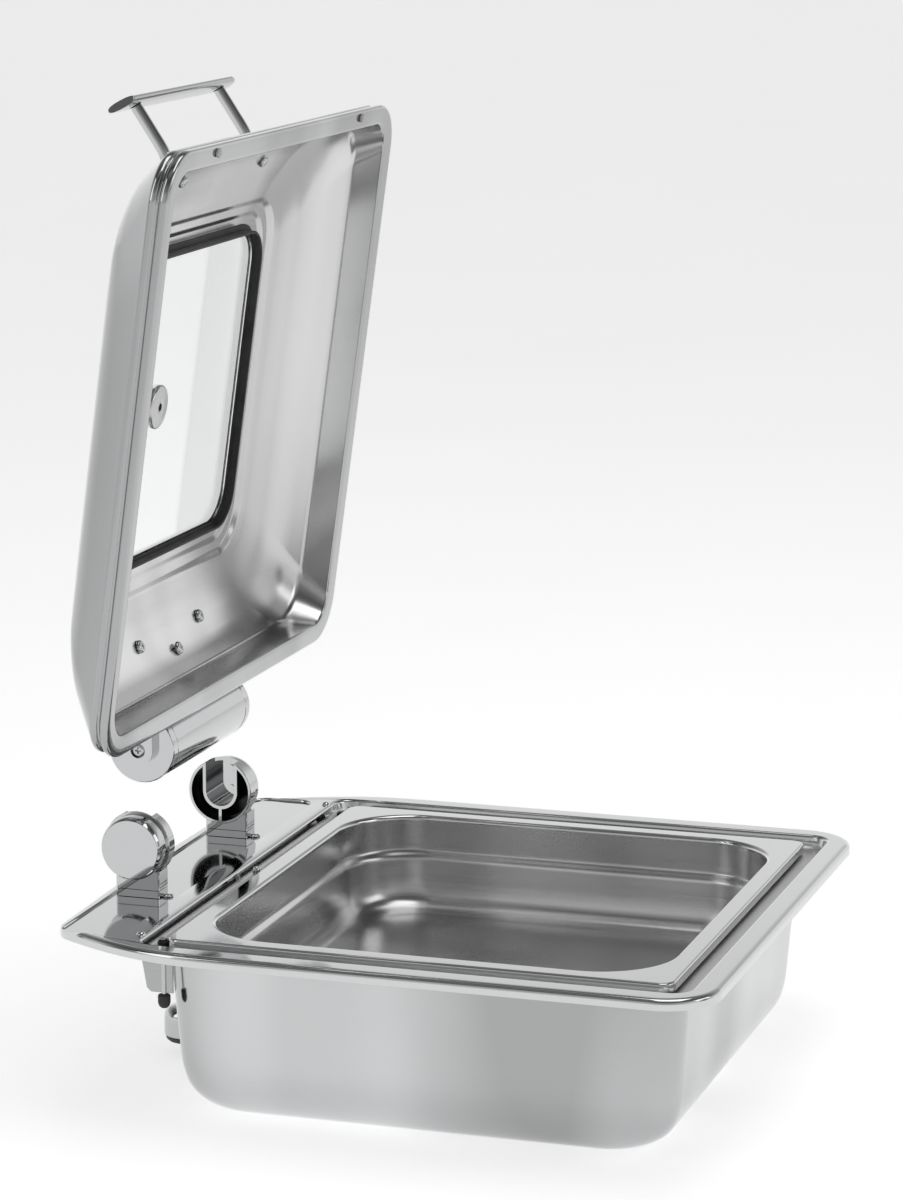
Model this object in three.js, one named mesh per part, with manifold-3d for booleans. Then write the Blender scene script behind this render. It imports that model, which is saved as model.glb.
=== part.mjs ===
// Hinged chafing dish: a deep water pan hung under a pressed top frame, a 2/3
// size food pan resting in it, and a domed lid with a window. The lid turns on a
// damped barrel whose end bosses drop into open slots in two posts. It is
// modelled lifted off the posts and open, the way it is taken off for cleaning.
// Millimetres, +Z up. Origin: on the water pan's flat bottom, under the middle of the food pan.
import * as THREE from 'three';
import { mergeVertices } from 'three/addons/utils/BufferGeometryUtils.js';
import Module from 'manifold-3d';
const wasm = await Module(); wasm.setup();

// ---- driving dimensions -------------------------------------------------
const H = 118;                 // top of frame and food pan rim above the table
const T = 1.2;                 // frame sheet
const PAN_X = 177, PAN_Y = 162.5;      // food pan rim, half sizes (354 x 325)
const PAN_DEPTH = 65;
const BODY_X = 178, BODY_F = 163.5, BODY_Y = 170;   // water pan outer half width, front and rear reach
const FRAME_X = 209.5, FRAME_FRONT = 192.5, DECK_REAR = 241;
const AX_Y = 219.5, AX_Z = H + 30.6;   // hinge axis when seated
const LIFT = 61.6;                     // how far the lid is lifted off the posts
const OPEN = 82.2 * Math.PI / 180;     // lid opening angle in the modelled pose
const BARREL_R = 22.5, SLEEVE_HALF = 61.5, DISC_IN = 61.8, DISC_OUT = 69.3, BOSS_OUT = 75.8, BOSS_R = 9.8;
const CUP_IN = 69.7, CUP_STEP = 79, CUP_OUT = 92, RING_R = 22.4, FACE_R = 20.3, SLOT_R = 10.15;
const LID_X = 207, LID_F = -183, LID_R = 194, LID_Z = H + 3;   // lid rim, closed
const WIN = 86;                        // inward offset of the lid edge round the window
const FOOT_X = 40, FOOT_Y = 202, FOOT_Z = 8.5;   // rear feet, screwed up clear of the table
const PIN_X = 168, PIN_Y = 166.5;

// ---- helpers --------------------------------------------------------------
const mat = (c, r, m, o = {}) => new THREE.MeshStandardMaterial({ color: c, roughness: r, metalness: m, ...o });
const M = {
  mirror: mat(0xd6d8d9, 0.12, 1), satin: mat(0xb9bbbb, 0.38, 1), chrome: mat(0xe2e4e6, 0.06, 1),
  rubber: mat(0x111112, 0.7, 0), gasket: mat(0x0b0b0c, 0.55, 0), clear: mat(0xe9f1f0, 0.03, 0, { transparent: true, opacity: 0.3 }),
  silicone: mat(0xdcdcd6, 0.35, 0), steel: mat(0xa9abac, 0.3, 1), sheet: mat(0x9fa1a1, 0.42, 1), brass: mat(0xb49a5a, 0.35, 1),
};
function solid(geo) {
  let g = geo.index ? geo.clone() : geo; g.deleteAttribute('normal'); g.deleteAttribute('uv');
  g = mergeVertices(g, 1e-4);
  return new wasm.Manifold(new wasm.Mesh({ numProp: 3, vertProperties: new Float32Array(g.attributes.position.array), triVerts: new Uint32Array(g.index.array) }));
}
function geoOf(s) {
  const m = s.getMesh(), g = new THREE.BufferGeometry();
  g.setAttribute('position', new THREE.BufferAttribute(new Float32Array(m.vertProperties), 3));
  g.setIndex(new THREE.BufferAttribute(new Uint32Array(m.triVerts), 1)); return g;
}
// rounded rectangle, anticlockwise from the +x side of the +y,+x corner
function rr(hx, y0, y1, r, n = 5) {
  const p = [], c = [[hx - r, y1 - r, 0], [-hx + r, y1 - r, 1], [-hx + r, y0 + r, 2], [hx - r, y0 + r, 3]];
  for (const [x, y, q] of c) for (let i = 0; i <= n; i++) { const a = (q + i / n) * Math.PI / 2; p.push([x + r * Math.cos(a), y + r * Math.sin(a)]); }
  return p;
}
// rings: [[outline, z], ...]; closed = section closes on itself; else both ends are capped
function loft(rings, closed) {
  const k = rings[0][0].length, pos = [], idx = [];
  for (const [o, z] of rings) for (const [x, y] of o) pos.push(x, y, z);
  const m = rings.length, top = closed ? m : m - 1;
  for (let i = 0; i < top; i++) for (let j = 0; j < k; j++) {
    const a = i * k + j, b = i * k + (j + 1) % k, c = ((i + 1) % m) * k + (j + 1) % k, d = ((i + 1) % m) * k + j;
    idx.push(a, b, c, a, c, d);
  }
  if (!closed) for (const [ri, flip] of [[0, true], [m - 1, false]]) {
    const o = rings[ri][0].map(([x, y]) => new THREE.Vector2(x, y));
    for (const [a, b, c] of THREE.ShapeUtils.triangulateShape(o, [])) flip ? idx.push(ri * k + c, ri * k + b, ri * k + a) : idx.push(ri * k + a, ri * k + b, ri * k + c);
  }
  const g = new THREE.BufferGeometry();
  g.setAttribute('position', new THREE.Float32BufferAttribute(pos, 3)); g.setIndex(idx);
  g.computeBoundingBox();
  // turn the faces outward
  let v = 0; const P = i => new THREE.Vector3(pos[3 * i], pos[3 * i + 1], pos[3 * i + 2]);
  for (let t = 0; t < idx.length; t += 3) v += P(idx[t]).dot(P(idx[t + 1]).cross(P(idx[t + 2])));
  if (v < 0) { for (let t = 0; t < idx.length; t += 3) [idx[t + 1], idx[t + 2]] = [idx[t + 2], idx[t + 1]]; g.setIndex(idx); }
  return g;
}
const prism = (o, z0, z1) => loft([[o, z0], [o, z1]], false);
// lathe about z, then turned so z goes along dir, foot at p
function lathe(profile, seg, p = [0, 0, 0], dir = [0, 0, 1]) {
  const g = new THREE.LatheGeometry(profile.map(([r, z]) => new THREE.Vector2(r, z)), seg);
  g.rotateX(Math.PI / 2);
  // Lathe runs about y with the profile's second value up; after the turn it runs about z
  const q = new THREE.Quaternion().setFromUnitVectors(new THREE.Vector3(0, 0, 1), new THREE.Vector3(...dir).normalize());
  g.applyQuaternion(q); g.translate(...p);
  let h = g; h.deleteAttribute('normal'); h.deleteAttribute('uv'); h = mergeVertices(h, 1e-4);
  const ps = h.attributes.position.array, ix = [...h.index.array], keep = [];
  for (let t = 0; t < ix.length; t += 3) if (ix[t] !== ix[t + 1] && ix[t + 1] !== ix[t + 2] && ix[t] !== ix[t + 2]) keep.push(ix[t], ix[t + 1], ix[t + 2]);
  let v = 0; const P = i => new THREE.Vector3(ps[3 * i], ps[3 * i + 1], ps[3 * i + 2]);
  for (let t = 0; t < keep.length; t += 3) v += P(keep[t]).dot(P(keep[t + 1]).cross(P(keep[t + 2])));
  if (v < 0) for (let t = 0; t < keep.length; t += 3) [keep[t + 1], keep[t + 2]] = [keep[t + 2], keep[t + 1]];
  h.setIndex(keep); return h;
}
const cyl = (r, z0, z1, seg, p, dir) => lathe([[0, z0], [r, z0], [r, z1], [0, z1]], seg, p, dir);
const box = (x0, x1, y0, y1, z0, z1) => { const g = new THREE.BoxGeometry(x1 - x0, y1 - y0, z1 - z0); g.translate((x0 + x1) / 2, (y0 + y1) / 2, (z0 + z1) / 2); return g; };
// y,z outline pushed along x from x0 to x1
function push(yz, x0, x1) {
  const s = new THREE.Shape(yz.map(([y, z]) => new THREE.Vector2(y, z)));
  const g = new THREE.ExtrudeGeometry(s, { depth: x1 - x0, bevelEnabled: false, curveSegments: 12 });
  g.rotateY(Math.PI / 2); g.rotateX(Math.PI / 2); g.translate(x0, 0, 0); return g;
}
const root = new THREE.Group(), base = new THREE.Group(), lifted = new THREE.Group(), lid = new THREE.Group();
function add(group, name, geo, material) { geo.computeVertexNormals(); const m = new THREE.Mesh(geo, material); m.name = name; group.add(m); return m; }
// screw: pan head outside the wall, shank the other way; z along the shank
const screwProfile = (hr, hh, sr, sl) => [[0, -hh], [hr * 0.62, -hh], [hr, -hh * 0.45], [hr, 0], [sr, 0], [sr, sl], [0, sl]];
function screw(hr, hh, sr, sl, p, dir, seg = 10) {
  const d = new THREE.Vector3(...dir).normalize();
  let s = solid(lathe(screwProfile(hr, hh, sr, sl), seg, p, dir));
  for (const a of [0, 1]) {          // cross recess
    const g = new THREE.BoxGeometry(a ? hr * 1.0 : hr * 0.26, a ? hr * 0.26 : hr * 1.0, hh * 0.9); g.translate(0, 0, -hh);
    g.applyQuaternion(new THREE.Quaternion().setFromUnitVectors(new THREE.Vector3(0, 0, 1), d)); g.translate(...p);
    s = s.subtract(solid(g));
  }
  return geoOf(s);
}

// ---- top frame --------------------------------------------------------------
// side points pair the outer skirt with the square recess edge
const SIDE = [[185, 212, 158], [194.5, 193, 147], [203.5, 168, 134], [208.3, 144, 118], [209.5, 112, 95]];
const REAR = [[90, 240], [0, DECK_REAR], [-90, 240]];
const NC = 4;
function skirtOutline() {
  const b = []; // rear right corner
  for (let i = 0; i <= NC; i++) { const t = i / NC, u = 1 - t; b.push([u * u * 178.5 + 2 * u * t * 170.5 + t * t * 159, u * u * 223.5 + 2 * u * t * 238.5 + t * t * 237.9]); }
  const p = [...b, ...REAR, ...b.map(([x, y]) => [-x, y]).reverse(), ...SIDE.map(([x, y]) => [-x, y])];
  const r = 36;
  for (let i = 0; i <= NC; i++) { const a = Math.PI * (1 + i / NC / 2); p.push([-FRAME_X + r + r * Math.cos(a), -FRAME_FRONT + r + r * Math.sin(a)]); }
  for (let i = 0; i <= NC; i++) { const a = Math.PI * (1.5 + i / NC / 2); p.push([FRAME_X - r + r * Math.cos(a), -FRAME_FRONT + r + r * Math.sin(a)]); }
  p.push(...[...SIDE].reverse().map(([x, y]) => [x, y]));
  return p;
}
function inset(p, d) {
  return p.map(([x, y], i) => {
    const [ax, ay] = p[(i + p.length - 1) % p.length], [bx, by] = p[(i + 1) % p.length];
    const l = Math.hypot(bx - ax, by - ay); return [x - d * (by - ay) / l, y + d * (bx - ax) / l];
  });
}
function recess(hx, hy, r) {
  const c = rr(hx, -hy, hy, r, NC), q = NC + 1, k = (hy - r - 2) / 161;
  return [...c.slice(0, q), ...REAR.map(([x]) => [x, hy]), ...c.slice(q, 2 * q), ...SIDE.map(s => [-hx, s[2] * k]),
    ...c.slice(2 * q, 3 * q), ...c.slice(3 * q), ...[...SIDE].reverse().map(s => [hx, s[2] * k])];
}
const S = skirtOutline();
const R = (hx, hy, r, z) => [recess(hx, hy, r), H + z];
let frame = solid(loft([
  [S, H - 7], [S, H - 2.6], [inset(S, 0.9), H - 0.8], [inset(S, 3), H],
  R(193.4, 177, 14, 0), R(192.2, 175.8, 13.5, -1), R(190.9, 174.5, 12.5, -6.8), R(189.6, 173.2, 12, -8),
  R(174.6, 160.1, 10, -8), R(173.4, 158.9, 9.5, -6.8), R(173.1, 158.6, 9.5, -3), R(171.9, 157.4, 9.5, -1.9), R(167.2, 152.7, 30, -1.9),
  R(167.2, 152.7, 30, -3.1), R(171.3, 156.8, 9, -3.1), R(171.9, 157.4, 9, -4.2), R(172.2, 157.7, 9, -7.8), R(173.6, 159.1, 9.5, -9.2),
  R(190.4, 174, 13, -9.2), R(192.1, 175.7, 13.5, -7.4), R(193.4, 177, 14, -1.8), R(194.2, 177.8, 14, -1.2),
  [inset(S, 3.2), H - 1.2], [inset(S, 1.7), H - 1.8], [inset(S, 1.2), H - 3], [inset(S, 1.2), H - 7]], true));
const bead = new THREE.CapsuleGeometry(3.2, 344, 3, 10); bead.rotateZ(Math.PI / 2); bead.translate(0, 179.8, H - 1.2);
frame = frame.add(solid(bead));
frame = frame.add(solid(prism(rr(180.2, 189.8, 233.9, 11.2, 4), H - 2.8, H - 0.3)));
frame = frame.subtract(solid(prism(rr(179, 191, 232.7, 10, 4), H - 1.6, H + 2)));
for (const s of [-1, 1]) {
  frame = frame.subtract(solid(cyl(1.9, -14, -2, 10, [s * PIN_X, PIN_Y, H])));
  for (const y of [208, 224]) frame = frame.subtract(solid(cyl(2.4, -9, 2, 8, [s * 80, y, H])));
}
add(base, 'top_frame', geoOf(frame), M.mirror);

// ---- water pan -----------------------------------------------------------------
const B = (i, r, z) => [rr(BODY_X - i, -BODY_F + i, BODY_Y - i, r), z];
add(base, 'water_pan', loft([
  [rr(BODY_X - 38, -BODY_F + 38, BODY_Y - 38, 22), 0], B(26, 28, 1.8), B(16, 33, 7), B(8.5, 36, 16.5), B(5, 37.5, 30), B(1.2, 39, 80), B(0, 40, H - 9.5),
  B(1.4, 38.6, H - 9.5), B(2.6, 37.6, 80), B(6.5, 36, 30), B(10, 34.6, 17.4), B(17.3, 31.7, 8.4), B(26.8, 27.2, 3.3),
  [rr(BODY_X - 38, -BODY_F + 38, BODY_Y - 38, 22), 1.5]], false), M.mirror);

// ---- food pan --------------------------------------------------------------------
const pan = new THREE.Group(); root.add(pan);
const Q = (i, r, z) => [rr(PAN_X - i, -PAN_Y + i, PAN_Y - i, r), H + z];
add(pan, 'food_pan', loft([
  Q(36, 34, -PAN_DEPTH + 0.9), Q(28, 40, -PAN_DEPTH + 2.3), Q(22, 43.5, -PAN_DEPTH + 7.5), Q(19.6, 45, -PAN_DEPTH + 17), Q(17.9, 46.5, -30), Q(17.3, 47, -28),
  Q(14.9, 49, -24.8), Q(14.6, 49, -23), Q(13.9, 50, -2.2), Q(13.2, 50.5, -0.7), Q(11.9, 51, 0), Q(1.5, 7.5, 0), Q(0.4, 8.4, -0.5), Q(0, 8.8, -1.5), Q(0, 8.8, -5.6),
  Q(0.9, 8, -5.6), Q(0.9, 8, -1.8), Q(1.8, 7.5, -0.95), Q(12.3, 50, -0.95), Q(13.1, 50, -2.6), Q(13.8, 49.5, -23.4), Q(14.3, 49, -25.4),
  Q(16.4, 47.5, -28.6), Q(17, 47, -30.4), Q(18.7, 45.5, -PAN_DEPTH + 16.6), Q(21.2, 44, -PAN_DEPTH + 7), Q(27.5, 40, -PAN_DEPTH + 1.4), Q(36, 34, -PAN_DEPTH)], false), M.satin);

// ---- deck fittings ------------------------------------------------------------------
add(base, 'locating_stud', lathe([[0, -7.6], [2.5, -7.6], [2.5, -1.6], [1.9, -0.2], [0.9, 0.5], [0, 0.6]], 10, [0, 167.5, H]), M.chrome);
let br = solid(box(-141, 141, 171.5, 232, H - 11, H - 9.6));
for (const s of [-1, 1]) {
  const g = push([[171.5, H - 10], [195, H - 10], [189, H - 44], [186, H - 46.5], [171.5, H - 46.5]], Math.min(s * 139.5, s * 141), Math.max(s * 139.5, s * 141));
  br = br.add(solid(g));
  for (const y of [208, 224]) br = br.subtract(solid(cyl(2.4, -14, -8, 8, [s * 80, y, H])));
  br = br.subtract(solid(cyl(3.3, -14, -8, 8, [s * FOOT_X, FOOT_Y, H])));
}
add(base, 'deck_bracket', geoOf(br), M.sheet);
for (const [s, n] of [[-1, 'left'], [1, 'right']]) {
  // support pin through the drip channel
  add(base, `pin_pad_${n}`, lathe([[1.8, -7.6], [3.6, -7.6], [3.6, -4.4], [3, -3.6], [1.8, -3.6], [1.8, -7.6]], 10, [s * PIN_X, PIN_Y, H]), M.rubber);
  add(base, `support_pin_${n}`, lathe([[0, -44], [1.5, -44], [1.5, -3.2], [2.6, -3.2], [2.6, -2], [0, -2]], 8, [s * PIN_X, PIN_Y, H]), M.steel);
  add(base, `pin_tip_${n}`, lathe([[0, -47.6], [2, -47.3], [3.4, -45.8], [4, -43.6], [4, -39.4], [3.4, -38.6], [1.8, -38.6], [1.8, -44.3], [0, -44.3]], 12, [s * PIN_X, PIN_Y, H]), M.rubber);
  // rear foot
  add(base, `rear_leg_${n}`, lathe([[0, FOOT_Z + 24], [5, FOOT_Z + 24], [5, H - 11.3], [3, H - 11.3], [3, H - 6.2], [0, H - 6.2]], 10, [s * FOOT_X, FOOT_Y, 0]), M.steel);
  add(base, `rear_foot_${n}`, lathe([[0, 4.3], [14.6, 4.3], [15, 4.8], [15, 17], [14.3, 20], [12, 22.6], [8.5, 23.7], [0, 23.7]], 18, [s * FOOT_X, FOOT_Y, FOOT_Z]), M.chrome);
  add(base, `foot_pad_${n}`, lathe([[0, 0], [11.8, 0], [13.6, 1.6], [14.4, 4], [0, 4]], 18, [s * FOOT_X, FOOT_Y, FOOT_Z]), M.rubber);
  // post: foot block, then the cup with the slot for the lid's boss
  const X = (a, b) => s > 0 ? [a, b] : [-b, -a];
  const fillet = rr(8, 201.2, 231, 1.2, 2).map(([x, y]) => [x + s * 80, y]);
  let blk = solid(prism(fillet, H - 1.3, H + 3.4));
  blk = blk.add(solid(lathe([[0, -1.3], [3.8, -1.3], [3.8, -0.5], [2.6, 0.2], [0, 0.5]], 12, [s * 80, 198.6, H])));
  for (const y of [208, 224]) blk = blk.subtract(solid(cyl(2.4, -6, 5, 8, [s * 80, y, H])));
  add(base, `post_foot_${n}`, geoOf(blk), M.chrome);
  let cup = solid(cyl(RING_R, CUP_IN, CUP_STEP, 30, [0, AX_Y, AX_Z], [s, 0, 0]));
  cup = cup.add(solid(lathe([[0, CUP_STEP - 1], [FACE_R + 0.6, CUP_STEP - 1], [FACE_R + 0.6, CUP_OUT - 4], [FACE_R, CUP_OUT - 1.6], [FACE_R - 1.2, CUP_OUT], [0, CUP_OUT]], 30, [0, AX_Y, AX_Z], [s, 0, 0])));
  cup = cup.add(solid(prism(fillet, H + 3.8, H + 16)));
  let hollow = solid(lathe([[0, CUP_IN - 2], [RING_R - 1.9, CUP_IN - 2], [RING_R - 1.9, CUP_STEP - 0.2], [FACE_R - 1.3, CUP_STEP - 0.2], [FACE_R - 1.3, 88.4], [0, 88.4]], 18, [0, AX_Y, AX_Z], [s, 0, 0]));
  // walls that stay inside the hollow: the U and the web below it
  const uo = [], ui = [];
  const UO = SLOT_R + 2.1;
  uo.push([AX_Y + UO, AX_Z + 24]); ui.push([AX_Y + SLOT_R, AX_Z + 30]);
  for (let i = 0; i <= 8; i++) { const a = -Math.PI * i / 8; uo.push([AX_Y + UO * Math.cos(a), AX_Z + UO * Math.sin(a)]); ui.push([AX_Y + SLOT_R * Math.cos(a), AX_Z + SLOT_R * Math.sin(a)]); }
  uo.push([AX_Y - UO, AX_Z + 24]); ui.push([AX_Y - SLOT_R, AX_Z + 30]);
  const [a0, a1] = X(CUP_IN + 0.2, 90), [b0, b1] = X(CUP_IN - 3, 86.4), [c0, c1] = X(CUP_IN - 1, CUP_STEP - 0.4);
  let keep = solid(push(uo, a0, a1)).add(solid(box(a0, a1, AX_Y - 1, AX_Y + 1, AX_Z - 23, AX_Z - SLOT_R - 0.6)));
  const limit = solid(lathe([[0, 60], [RING_R - 0.5, 60], [RING_R - 0.5, CUP_STEP - 0.3], [FACE_R - 0.5, CUP_STEP - 0.3], [FACE_R - 0.5, 91], [0, 91]], 18, [0, AX_Y, AX_Z], [s, 0, 0]));
  keep = keep.intersect(limit);
  cup = cup.subtract(hollow).add(keep);
  cup = cup.subtract(solid(push(ui, b0, b1)).intersect(limit));                 // boss slot
  cup = cup.subtract(solid(box(c0, c1, AX_Y - SLOT_R, AX_Y + SLOT_R, AX_Z, AX_Z + 30)));  // open top
  for (const z of [13, -1]) cup = cup.add(solid(cyl(2.3, 85.4, 88, 8, [0, AX_Y - 2, AX_Z + z], [s, 0, 0])));
  for (const y of [208, 224]) cup = cup.subtract(solid(cyl(2.4, -6, 8.6, 8, [s * 80, y, H])));
  add(base, `hinge_post_${n}`, geoOf(cup), M.chrome);
  add(base, `post_screw_${n}_front`, screw(4.2, 2.6, 2, 18.8, [s * 80, 208, H - 11.3], [0, 0, 1]), M.steel);
  add(base, `post_screw_${n}_rear`, screw(4.2, 2.6, 2, 18.8, [s * 80, 224, H - 11.3], [0, 0, 1]), M.steel);
}

// ---- hinge unit: stays upright so that its bosses fit the slots -----------------------
for (const [s, n] of [[-1, 'left'], [1, 'right']]) {
  let d = solid(lathe([[0, DISC_IN], [BARREL_R - 0.4, DISC_IN], [BARREL_R, DISC_IN + 0.5], [BARREL_R, DISC_OUT - 0.6], [BARREL_R - 0.6, DISC_OUT], [0, DISC_OUT]], 30, [0, AX_Y, AX_Z], [s, 0, 0]));
  const u = []; for (let i = 0; i <= 10; i++) { const a = -Math.PI * i / 10; u.push([AX_Y + BOSS_R * Math.cos(a), AX_Z + BOSS_R * Math.sin(a)]); }
  for (let i = 0; i <= 4; i++) { const a0 = Math.acos(-BOSS_R / 22), a = a0 + (Math.PI - 2 * a0) * i / 4; u.push([AX_Y + 22 * Math.cos(a), AX_Z + 22 * Math.sin(a)]); }
  const [e0, e1] = s > 0 ? [DISC_OUT - 0.5, BOSS_OUT] : [-BOSS_OUT, -DISC_OUT + 0.5];
  d = d.add(solid(push(u, e0, e1)));
  d = d.subtract(solid(lathe([[0, 60], [4.3, 60], [4.3, 67.6], [2.4, 67.6], [2.4, 72.6], [4.9, 72.6], [4.9, 77], [0, 77]], 12, [0, AX_Y, AX_Z], [s, 0, 0])));
  add(lifted, `hinge_end_disc_${n}`, geoOf(d), M.chrome);
  add(lifted, `hinge_end_screw_${n}`, screw(4.5, 2.4, 2, 9.5, [s * 72.9, AX_Y, AX_Z], [-s, 0, 0], 12), M.steel);
}
let axle = solid(cyl(4, -67.3, 67.3, 16, [0, AX_Y, AX_Z], [1, 0, 0]));
for (const s of [-1, 1]) axle = axle.subtract(solid(cyl(2.3, 61, 68, 8, [0, AX_Y, AX_Z], [s, 0, 0])));
add(lifted, 'hinge_axle', geoOf(axle), M.steel);
add(lifted, 'damper_core', lathe([[4.3, -34], [15.6, -34], [16, -33.6], [16, 33.6], [15.6, 34], [4.3, 34], [4.3, -34]], 18, [0, AX_Y, AX_Z], [1, 0, 0]), M.sheet);

// ---- lid, in its closed place --------------------------------------------------------------
const L = (o, h, r) => [rr(LID_X - o, LID_F + o, LID_R - o, r), LID_Z + h];
const outer = [[0, 1.2, 30], [0, 5.2, 30], [2.4, 6.4, 29.2], [2.8, 7.8, 29], [1.4, 9.2, 29.4], [1.4, 12.4, 29.4], [3.6, 14.8, 29.8], [11.5, 24, 34], [21, 35.2, 40], [28, 40.8, 42], [35, 45, 42], [52, 51.9, 38], [65, 55.6, 32], [68.4, 58.6, 30.6], [74, 59.6, 27.6], [76.8, 61.8, 26.4], [82, 62.4, 24.6], [WIN, 62.4, 24]];
const inner = [[WIN, 61.2, 24], [82.4, 61.2, 24.4], [77.4, 60.6, 26.2], [74.6, 58.4, 27.4], [69, 57.5, 30.2], [65.6, 54.4, 31.6], [52.4, 50.7, 37.8], [35.6, 43.9, 42], [28.8, 39.8, 42], [22, 34.3, 40], [13.2, 22.9, 34.6], [13, 1.8, 20.6], [12.2, 0.9, 21.2], [10.8, 0.5, 22], [4.4, 0, 26], [1.4, 0, 28.8]];
let shell = solid(loft([...outer, ...inner].map(([o, h, r]) => L(o, h, r)), true));
const wallRear = new THREE.Vector3(0, 0.5, 0.866).normalize();   // outward normal of the rear slope
const rearScrews = [[-52.5, 158.2, 43.9], [52.5, 158.2, 43.9], [0, 168.4, 36.6]].map(([x, y, h]) => [x, y, LID_Z + h - 0.5]);
const frontScrews = [[-72, -147.4], [72, -147.4]].map(([x, y]) => [x, y, LID_Z + 43.3]);
for (const p of rearScrews) shell = shell.subtract(solid(cyl(2.4, -1, 5, 8, p, wallRear.toArray())));
for (const p of frontScrews) shell = shell.subtract(solid(cyl(2.4, -1, 5, 8, p, [0, -0.5, 0.866])));
add(lid, 'lid_shell', geoOf(shell), M.mirror);
add(lid, 'window_gasket', loft([[83.2, 60.9], [83.2, 60.1], [86.3, 59.7], [86.3, 52.6], [88.2, 52.6], [88.2, 58.2], [89.6, 58.2], [89.6, 59.2], [88.4, 59.2], [88.4, 62.6], [89.8, 62.6], [89.8, 63.4], [87.2, 63.6], [86.3, 62.8], [86.3, 60.9]].map(([o, h]) => L(o, h, 24 - (o - 86.3) * 0.6)), true), M.gasket);
const VX = -30, VY = (LID_F + LID_R) / 2;
let glass = solid(loft([[88.7, 59.5], [88.7, 62.3]].map(([o, h]) => L(o, h, 22)), false));
glass = glass.subtract(solid(cyl(4.6, 50, 70, 12, [VX, VY, LID_Z])));
add(lid, 'window_glass', geoOf(glass), M.clear);
add(lid, 'vent_disc', lathe([[2.4, 56.3], [5, 55.9], [13.4, 56.5], [14.5, 57.7], [14.5, 59.2], [4.3, 59.2], [4.3, 62.8], [2.4, 62.8], [2.4, 56.3]], 18, [VX, VY, LID_Z]), M.steel);
add(lid, 'vent_cap', lathe([[4.7, 62.7], [12, 62.7], [12, 64], [10.6, 65.4], [2.4, 65.8], [2.4, 63.1], [4.7, 63.1], [4.7, 62.7]], 18, [VX, VY, LID_Z]), M.steel);
// handle
const nF = [0, -0.5, 0.866];
for (const [s, n, i] of [[-1, 'left', 0], [1, 'right', 1]]) {
  const [x, y, z] = frontScrews[i];
  const P = (d) => new THREE.Vector3(x, y + nF[1] * d, z + nF[2] * d);
  const curve = new THREE.CatmullRomCurve3([P(3.2), P(12), new THREE.Vector3(x, -163, LID_Z + 57.2), new THREE.Vector3(x, -175.5, LID_Z + 67.6), new THREE.Vector3(x, -188.6, LID_Z + 79.2)]);
  const sh = new THREE.Shape(); sh.absarc(0, 0, 3.8, 0, Math.PI * 2);
  const g = new THREE.ExtrudeGeometry(sh, { steps: 7, extrudePath: curve, curveSegments: 5, bevelEnabled: false });
  let leg = solid(g).add(solid(cyl(5.2, 2.5, 4.6, 12, [x, y, z], nF)));
  leg = leg.subtract(solid(cyl(2.3, 0, 9, 8, [x, y, z], nF)));
  add(lid, `handle_leg_${n}`, geoOf(leg), M.chrome);
  add(lid, `handle_screw_${n}`, screw(4, 2.2, 2, 8.6, [x, y + 0.15, z - 0.26], nF), M.steel);
}
{
  // blade-like grip: long upper edge, short lower edge, slanted ends
  const ux = [0, 0.5, -0.866], vx = [0, -0.866, -0.5];   // across the blade, through it
  const c = [-191, LID_Z + 82.2], w = 8.6, prof = [];
  for (let i = 0; i < 12; i++) { const a = i / 12 * 2 * Math.PI, e = Math.cos(a), f = Math.sin(a); prof.push([w * Math.sign(e) * Math.pow(Math.abs(e), 0.8), 2.9 * Math.sign(f) * Math.pow(Math.abs(f), 0.75)]); }
  const k = prof.length, pos = [], idx = [], st = [-1, -0.96, 0.96, 1];
  // w runs outward-down, the other way through the blade
  const W = [-0.62, -0.785], V = [-0.785, 0.62];
  for (const t of st) for (const [a, b] of prof) {
    const half = 91 - a * 0.42 - b * 0.6, sc = Math.abs(t) === 1 ? 0.9 : 1;
    pos.push(t * half, c[0] + W[0] * a * sc + V[0] * b * sc, c[1] + W[1] * a * sc + V[1] * b * sc);
  }
  for (let i = 0; i < st.length - 1; i++) for (let j = 0; j < k; j++) { const a = i * k + j, b = i * k + (j + 1) % k; idx.push(a, b, b + k, a, b + k, a + k); }
  for (let j = 1; j < k - 1; j++) { idx.push(0, j + 1, j); const o = (st.length - 1) * k; idx.push(o, o + j, o + j + 1); }
  let v = 0; const P = i => new THREE.Vector3(pos[3 * i], pos[3 * i + 1], pos[3 * i + 2]);
  for (let t = 0; t < idx.length; t += 3) v += P(idx[t]).dot(P(idx[t + 1]).cross(P(idx[t + 2])));
  if (v < 0) for (let t = 0; t < idx.length; t += 3) [idx[t + 1], idx[t + 2]] = [idx[t + 2], idx[t + 1]];
  const g = new THREE.BufferGeometry(); g.setAttribute('position', new THREE.Float32BufferAttribute(pos, 3)); g.setIndex(idx);
  let grip = solid(g);
  for (const [s, i] of [[-1, 0], [1, 1]]) grip = grip.subtract(solid(cyl(4.1, -6, 6, 12, [frontScrews[i][0], -188.6, LID_Z + 79.2], [0, -0.795, 0.607])));
  add(lid, 'handle_grip', geoOf(grip), M.chrome);
}
// bumpers under the front rim
for (const [s, n] of [[-1, 'left'], [1, 'right']]) add(lid, `rim_bumper_${n}`, lathe([[0, -2.4], [2.1, -2.3], [3, -1.6], [3, -0.3], [0, -0.3]], 10, [s * 133, -178.2, LID_Z]), M.silicone);
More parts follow.
